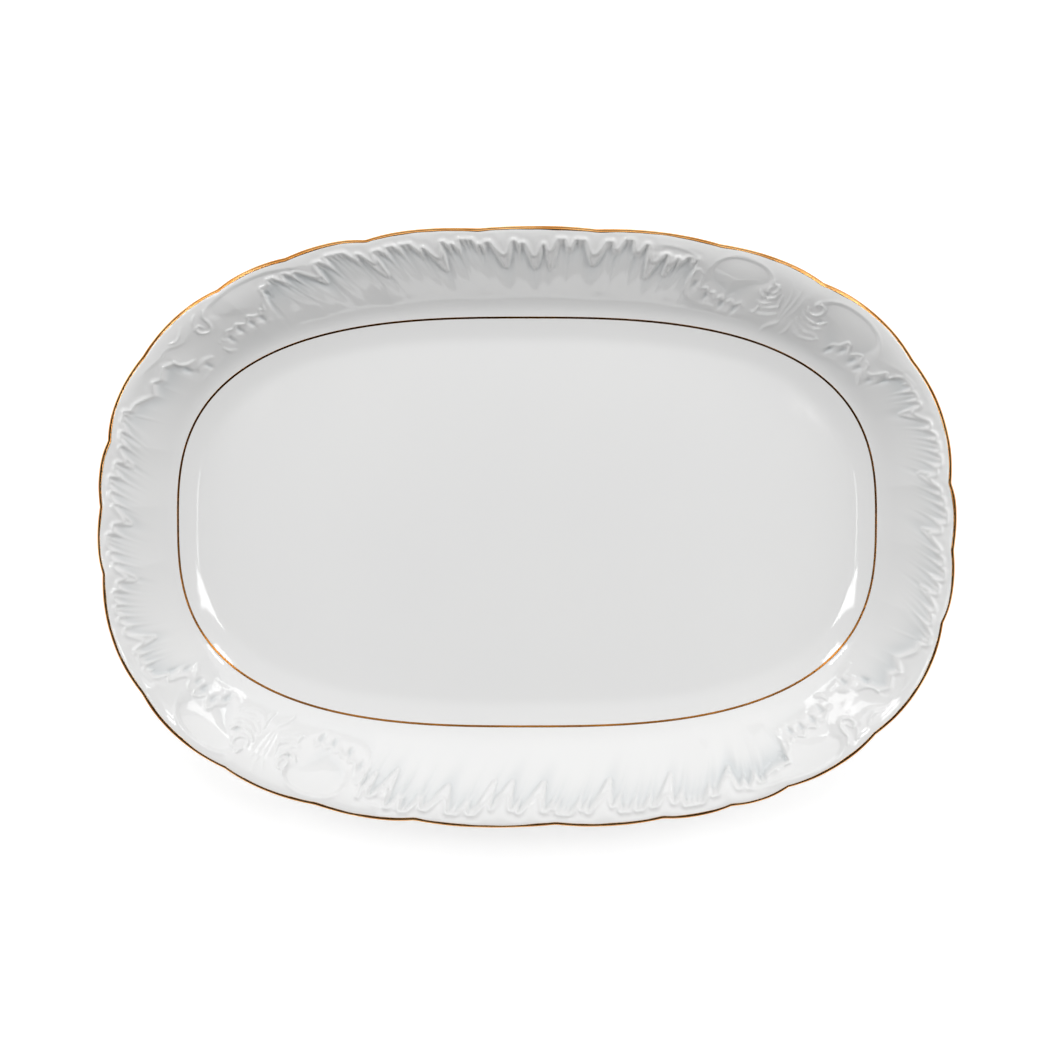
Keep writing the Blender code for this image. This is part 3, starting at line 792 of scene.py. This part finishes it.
def edge_rows():
    """The film's skin from its inner limit over the lip to its limit underneath, and back inside."""
    percents = column_percents(COLUMNS)[::2]
    wander = brush_wander(percents, 3)

    def uneven_row(angle, spread, lift):
        """A row whose place round the lip wanders with the brush."""
        angles = np.radians(angle + spread * wander)
        rim, outward = squared_oval(RIM_LENGTH, RIM_WIDTH, RIM_POWER, percents)
        radius = LIP_RADIUS + lift
        out = rim_swell(percents) - LIP_RADIUS - LIP_INSET + radius * np.cos(angles)
        heights = EDGE_TOP - LIP_RADIUS + radius * np.sin(angles)
        return np.column_stack([rim + outward * out[:, None], heights])

    rows = [uneven_row(88, 9, GOLD_ROOT), uneven_row(88, 9, GOLD_LIFT * 0.3), uneven_row(84, 8, GOLD_LIFT)]
    for angle in (60, 44, 28, 12, -4, -20, -36, -50):
        rows.append(lip_point(percents, angle, GOLD_LIFT))
    rows.append(lip_point(percents, -55, GOLD_LIFT * 0.3))
    rows.append(lip_point(percents, -55, GOLD_ROOT))
    for angle in (-25, 10, 45):
        rows.append(lip_point(percents, angle, GOLD_ROOT))
    return rows


PATCHES_PER_METRE = 60.0  # thin and full patches of the film, about 17 mm long
GRAIN_PER_METRE = 900.0  # brush marks about 1 mm apart, coarser than the real ones so that they show


def fired_gold(name, dark, light, roughness):
    """Liquid gold, brushed on and fired: a bright metal film with faint brush marks.

    Thin and full patches give it a darker and a lighter gold, and a little more or less gloss.
    """
    material, tree, shader = new_material(name)
    place = add_node(tree, "ShaderNodeTexCoord")
    patches = add_node(
        tree, "ShaderNodeTexNoise", {"Scale": PATCHES_PER_METRE, "Detail": 3.0},
        Vector=place.outputs["Object"],
    )
    tone = add_node(tree, "ShaderNodeValToRGB", Fac=patches.outputs["Fac"])
    tone.color_ramp.elements[0].position = 0.35
    tone.color_ramp.elements[0].color = linear(dark)
    tone.color_ramp.elements[1].position = 0.65
    tone.color_ramp.elements[1].color = linear(light)
    gloss = add_node(
        tree, "ShaderNodeMapRange", {"To Min": roughness * 0.8, "To Max": roughness * 1.3},
        Value=patches.outputs["Fac"],
    )
    grain = add_node(
        tree, "ShaderNodeTexNoise", {"Scale": GRAIN_PER_METRE, "Detail": 2.0},
        Vector=place.outputs["Object"],
    )
    bump = add_node(
        tree, "ShaderNodeBump", {"Strength": 0.15, "Distance": 0.0001}, Height=grain.outputs["Fac"]
    )
    tree.links.new(tone.outputs["Color"], shader.inputs["Base Color"])
    tree.links.new(gloss.outputs["Result"], shader.inputs["Roughness"])
    tree.links.new(bump.outputs["Normal"], shader.inputs["Normal"])
    shader.inputs["Metallic"].default_value = 1.0
    return material


edge = skin("gilt_edge_fine", edge_rows(), closed=True)
edge.data.materials.append(fired_gold("gold_brushed_and_fired_edge", "#CE8D48", "#F4BE7E", 0.14))
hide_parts("gilt_edge")
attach(edge, "root")

# ==== Gilded line =================================================================================
# One turn of the banding wheel with a fine brush where the well meets the flange, fired with the
# edge.  It lies on the glaze as a film, so it stands hardly proud.

def closed_loop(name, points):
    """A ring of points joined by edges only, as the path or section of a sweep."""
    mesh = bpy.data.meshes.new(name)
    count = len(points)
    mesh.from_pydata([tuple(p) for p in points], [(i, (i + 1) % count) for i in range(count)], [])
    loop = bpy.data.objects.new(name, mesh)
    bpy.context.scene.collection.objects.link(loop)
    return loop


def sweep_tree():
    """Geometry Nodes: carry a section round a closed path, its size wandering like a brush's."""
    tree = bpy.data.node_groups.new("swept_ring", "GeometryNodeTree")
    sockets = tree.interface
    sockets.new_socket("Path", in_out="INPUT", socket_type="NodeSocketGeometry")
    for label, kind in (("Section", "NodeSocketObject"), ("Width wander", "NodeSocketFloat"),
                        ("Waves per metre", "NodeSocketFloat"), ("Seed", "NodeSocketFloat"),
                        ("Material", "NodeSocketMaterial")):
        sockets.new_socket(label, in_out="INPUT", socket_type=kind)
    sockets.new_socket("Ring", in_out="OUTPUT", socket_type="NodeSocketGeometry")
    given = add_node(tree, "NodeGroupInput")
    path = add_node(tree, "GeometryNodeMeshToCurve", Mesh=given.outputs["Path"])
    upright = add_node(tree, "GeometryNodeSetCurveNormal", {"mode": "Z_UP"}, Curve=path.outputs["Curve"])
    waves = add_node(
        tree, "ShaderNodeTexNoise", {"noise_dimensions": "4D", "Detail": 2.0},
        Scale=given.outputs["Waves per metre"], W=given.outputs["Seed"],
    )
    signed = add_node(
        tree, "ShaderNodeMapRange", {"From Min": 0.3, "From Max": 0.7, "To Min": -1.0, "To Max": 1.0},
        Value=waves.outputs["Fac"],
    )
    width = add_node(tree, "ShaderNodeMath", {"operation": "MULTIPLY_ADD"})
    tree.links.new(signed.outputs["Result"], width.inputs[0])
    tree.links.new(given.outputs["Width wander"], width.inputs[1])
    width.inputs[2].default_value = 1.0
    radius = add_node(
        tree, "GeometryNodeSetCurveRadius", Curve=upright.outputs["Curve"], Radius=width.outputs[0]
    )
    drawn = add_node(tree, "GeometryNodeObjectInfo", Object=given.outputs["Section"])
    section = add_node(tree, "GeometryNodeMeshToCurve", Mesh=drawn.outputs["Geometry"])
    ring = add_node(
        tree, "GeometryNodeCurveToMesh", Curve=radius.outputs["Curve"],
        Profile_Curve=section.outputs["Curve"],
    )
    real = add_node(tree, "GeometryNodeRealizeInstances", Geometry=ring.outputs["Mesh"])
    covered = add_node(
        tree, "GeometryNodeSetMaterial", Geometry=real.outputs["Geometry"],
        Material=given.outputs["Material"],
    )
    done = add_node(tree, "NodeGroupOutput")
    tree.links.new(covered.outputs["Geometry"], done.inputs["Ring"])
    return tree


def swept_ring(name, tree, path_points, section_points, wander, waves, seed, material):
    """Run the sweep and return its result as a plain object."""
    path = closed_loop(name + "_path", path_points)
    # A section is drawn as (out, up), and the sweep hangs its +Y downwards
    section = closed_loop(name + "_section", [(out, -up, 0.0) for out, up in section_points])
    modifier = path.modifiers.new("sweep", "NODES")
    modifier.node_group = tree
    settings = {"Section": section, "Width wander": wander, "Waves per metre": waves, "Seed": seed,
                "Material": material}
    for item in tree.interface.items_tree:
        if item.in_out == "INPUT" and item.name in settings:
            modifier[item.identifier] = settings[item.name]
    bpy.context.view_layer.update()
    graph = bpy.context.evaluated_depsgraph_get()
    mesh = bpy.data.meshes.new_from_object(path.evaluated_get(graph))
    path.modifiers.remove(modifier)
    bpy.data.objects.remove(path)
    bpy.data.objects.remove(section)
    mesh.name = name
    bm = bmesh.new()
    bm.from_mesh(mesh)
    bmesh.ops.remove_doubles(bm, verts=bm.verts, dist=1e-7)
    bmesh.ops.recalc_face_normals(bm, faces=bm.faces)
    bm.to_mesh(mesh)
    bm.free()
    mesh.shade_smooth()
    ring = bpy.data.objects.new(name, mesh)
    bpy.context.scene.collection.objects.link(ring)
    return ring


SWEEP = sweep_tree()
line_plan, _ = squared_oval(WELL_LENGTH, WELL_WIDTH, WELL_POWER, np.arange(0.0, 100.0, 0.125))
line_path = np.column_stack([line_plan, np.full(len(line_plan), LINE_HEIGHT)])
FILM_TOP = 0.00006  # a flat film that follows the china's slope, with thin soft sides
FILM_SHOULDER = 0.00004
FILM_SIDE = 0.00001
FILM_ROOT = 0.0003  # how deep its hidden underside reaches into the glaze
half_line = 0.42 * GILT_LINE_WIDTH
film_section = [
    (across * half_line, LINE_SLOPE * across * half_line + lift)
    for across, lift in ((-1.0, -FILM_ROOT), (1.0, -FILM_ROOT), (1.0, FILM_SIDE), (0.92, FILM_SHOULDER),
                         (0.8, FILM_TOP), (0.65, FILM_TOP), (-0.65, FILM_TOP), (-0.8, FILM_TOP),
                         (-0.92, FILM_SHOULDER), (-1.0, FILM_SIDE))
]
WIDTH_WANDER = 0.13  # share by which the brushed line grows and shrinks
WAVES_PER_METRE = 45.0  # one wander of its width in about 22 mm
line_gold = fired_gold("gold_banded_and_fired_line", "#8E5A22", "#B87A34", 0.18)
well_line = swept_ring(
    "gilt_well_line_fine", SWEEP, line_path, film_section, WIDTH_WANDER, WAVES_PER_METRE, 7.0, line_gold
)
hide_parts("gilt_well_line")
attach(well_line, "root")

# ==== Foot ring ===================================================================================
# The oval ring that the platter stands on, stuck to the body before the first firing.  Its sides
# are glazed, and its base is wiped and ground, so bare bisque shows where it stands.

FOOT_INSET = 0.0112  # from the gilded line to the middle of the ring
FOOT_SECTION = (  # (out, up) in metres, from the body's underside down to the ground base and back
    (0.0036, 0.0059), (0.0026, 0.0053), (0.0019, 0.0042), (0.0016, 0.0024), (0.00145, 0.0009),
    (0.00115, 0.0002), (0.0007, 0.0), (-0.0007, 0.0), (-0.00115, 0.0002), (-0.00145, 0.0009),
    (-0.0016, 0.0024), (-0.0019, 0.0042), (-0.0026, 0.0053), (-0.0036, 0.0059),
)


WIPES_PER_METRE = 55.0  # the wiped limit wavers about every 18 mm
GRIT_PER_METRE = 1500.0  # grit 0.7 mm apart, coarser than the real one so that it shows


def glazed_foot():
    """The body's glaze, ending in a hand-wiped limit above the ground bisque base.

    The glaze is mirror-bright and white; the bare bisque is cream, matt and faintly gritty.
    """
    material, tree, shader = new_material("porcelain_glazed_foot_ground_base")
    place = add_node(tree, "ShaderNodeTexCoord")
    parts = add_node(tree, "ShaderNodeSeparateXYZ", Vector=place.outputs["Object"])
    wobble = add_node(
        tree, "ShaderNodeTexNoise", {"Scale": WIPES_PER_METRE, "Detail": 2.0},
        Vector=place.outputs["Object"],
    )
    limit = add_node(
        tree, "ShaderNodeMapRange", {"To Min": 0.0002, "To Max": 0.0013}, Value=wobble.outputs["Fac"]
    )
    over = add_node(tree, "ShaderNodeMath", {"operation": "SUBTRACT"})
    tree.links.new(parts.outputs["Z"], over.inputs[0])
    tree.links.new(limit.outputs["Result"], over.inputs[1])
    glazed = add_node(
        tree, "ShaderNodeMapRange", {"From Min": -0.00008, "From Max": 0.00008}, Value=over.outputs[0]
    )
    color = add_node(tree, "ShaderNodeValToRGB", Fac=glazed.outputs["Result"])
    color.color_ramp.elements[0].color = linear("#D8D0C0")
    color.color_ramp.elements[1].color = linear("#F0F0F0")
    gloss = add_node(
        tree, "ShaderNodeMapRange", {"To Min": 0.72, "To Max": 0.05}, Value=glazed.outputs["Result"]
    )
    grit = add_node(
        tree, "ShaderNodeTexNoise", {"Scale": GRIT_PER_METRE, "Detail": 2.0}, Vector=place.outputs["Object"]
    )
    bare = add_node(
        tree, "ShaderNodeMapRange", {"To Min": 1.0, "To Max": 0.0}, Value=glazed.outputs["Result"]
    )
    height = add_node(tree, "ShaderNodeMath", {"operation": "MULTIPLY"})
    tree.links.new(grit.outputs["Fac"], height.inputs[0])
    tree.links.new(bare.outputs["Result"], height.inputs[1])
    bump = add_node(
        tree, "ShaderNodeBump", {"Strength": 0.35, "Distance": 0.0002}, Height=height.outputs[0]
    )
    tree.links.new(color.outputs["Color"], shader.inputs["Base Color"])
    tree.links.new(gloss.outputs["Result"], shader.inputs["Roughness"])
    tree.links.new(bump.outputs["Normal"], shader.inputs["Normal"])
    shader.inputs["IOR"].default_value = 1.50
    return material


line_for_foot, outward = squared_oval(WELL_LENGTH, WELL_WIDTH, WELL_POWER, np.arange(0.0, 100.0, 0.25))
foot_plan = line_for_foot - outward * FOOT_INSET
foot_path = np.column_stack([foot_plan, np.zeros(len(foot_plan))])
foot = swept_ring(
    "foot_ring_fine", SWEEP, foot_path, FOOT_SECTION, 0.0, WAVES_PER_METRE, 1.0, glazed_foot()
)
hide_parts("foot_ring")
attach(foot, "root")

# ==== Floor, light and camera =====================================================================
# White studio paper under the platter, lit from behind and above by soft boxes.  Small lamps on both
# sides give the crescents in the well's cove and the bright spots at the corners nearest the viewer.

bpy.ops.mesh.primitive_plane_add(size=6.0)
ground = bpy.context.object
ground.name = "studio_floor"
paper, paper_tree, paper_shader = new_material("studio_paper")
paper_shader.inputs["Base Color"].default_value = linear("#F4F4F4")
paper_shader.inputs["Roughness"].default_value = 0.9
paper_shader.inputs["Emission Color"].default_value = linear("#FFFFFF")
paper_shader.inputs["Emission Strength"].default_value = 0.42
ground.data.materials.append(paper)


def soft_light(name, place, size, radiance, aim=(0.0, 0.0, 0.02)):
    """A rectangular soft box that looks equally bright from everywhere in front of it."""
    data = bpy.data.lights.new(name, "AREA")
    data.shape = "RECTANGLE"
    data.size, data.size_y = size
    data.energy = radiance * math.pi * size[0] * size[1]
    lamp = bpy.data.objects.new(name, data)
    bpy.context.scene.collection.objects.link(lamp)
    lamp.location = place
    away = Vector(place) - Vector(aim)
    lamp.rotation_euler = away.to_track_quat("Z", "Y").to_euler()
    return lamp


soft_light("back_softbox", (0.0, 1.35, 1.65), (3.0, 1.8), 1.17)
overhead = soft_light("overhead_fill", (0.0, 0.60, 1.98), (1.2, 1.1), 0.78, aim=(0.0, 0.0, 0.0))
overhead.visible_glossy = False
LAMP_HEIGHT = 1.5
for side, name, fill in ((-1.0, "left", 3.2), (1.0, "right", 3.6)):
    soft_light(name + "_softbox", (side * 0.37, 0.28, LAMP_HEIGHT), (0.12, 0.12), 9.0)
    soft_light(name + "_outer_softbox", (side * 0.56, 0.42, LAMP_HEIGHT), (0.16, 0.14), 9.0)
    soft_light(name + "_strip", (side * 0.292, -0.05, LAMP_HEIGHT), (0.15, 0.22), 8.0)
    soft_light(name + "_faint_strip", (side * 0.29, -0.19, LAMP_HEIGHT), (0.08, 0.05), 4.0)
    soft_light(name + "_corner_box", (side * 0.90, 1.15, 0.68), (0.35, 0.25), 4.0)
    wing = soft_light(name + "_fill", (side * 1.6, 0.4, 0.9), (1.2, 1.0), fill)
    wing.visible_glossy = False
soft_light("front_strip", (0.0, -1.35, 0.465), (0.55, 0.09), 1.5)

world = bpy.data.worlds.new("studio")
bpy.context.scene.world = world
world.use_nodes = True
world.node_tree.nodes["Background"].inputs["Color"].default_value = linear("#FFFFFF")
world.node_tree.nodes["Background"].inputs["Strength"].default_value = 0.05

CAMERA_HEIGHT = 2.40
CAMERA_TILT = math.radians(6.9)
AIM = (0.0012, -0.0012, 0.026)
VIEW_WIDTH = 0.4198  # what the frame takes in at the height of the aim
SENSOR_WIDTH = 36.0
camera_data = bpy.data.cameras.new("camera")
camera_data.sensor_width = SENSOR_WIDTH
camera_data.lens = SENSOR_WIDTH * CAMERA_HEIGHT / VIEW_WIDTH
camera = bpy.data.objects.new("camera", camera_data)
bpy.context.scene.collection.objects.link(camera)
camera.location = (
    AIM[0],
    AIM[1] + CAMERA_HEIGHT * math.sin(CAMERA_TILT),
    AIM[2] + CAMERA_HEIGHT * math.cos(CAMERA_TILT),
)
camera.rotation_euler = (-CAMERA_TILT, 0.0, 0.0)
bpy.context.scene.camera = camera
bpy.context.scene.view_settings.view_transform = "Standard"
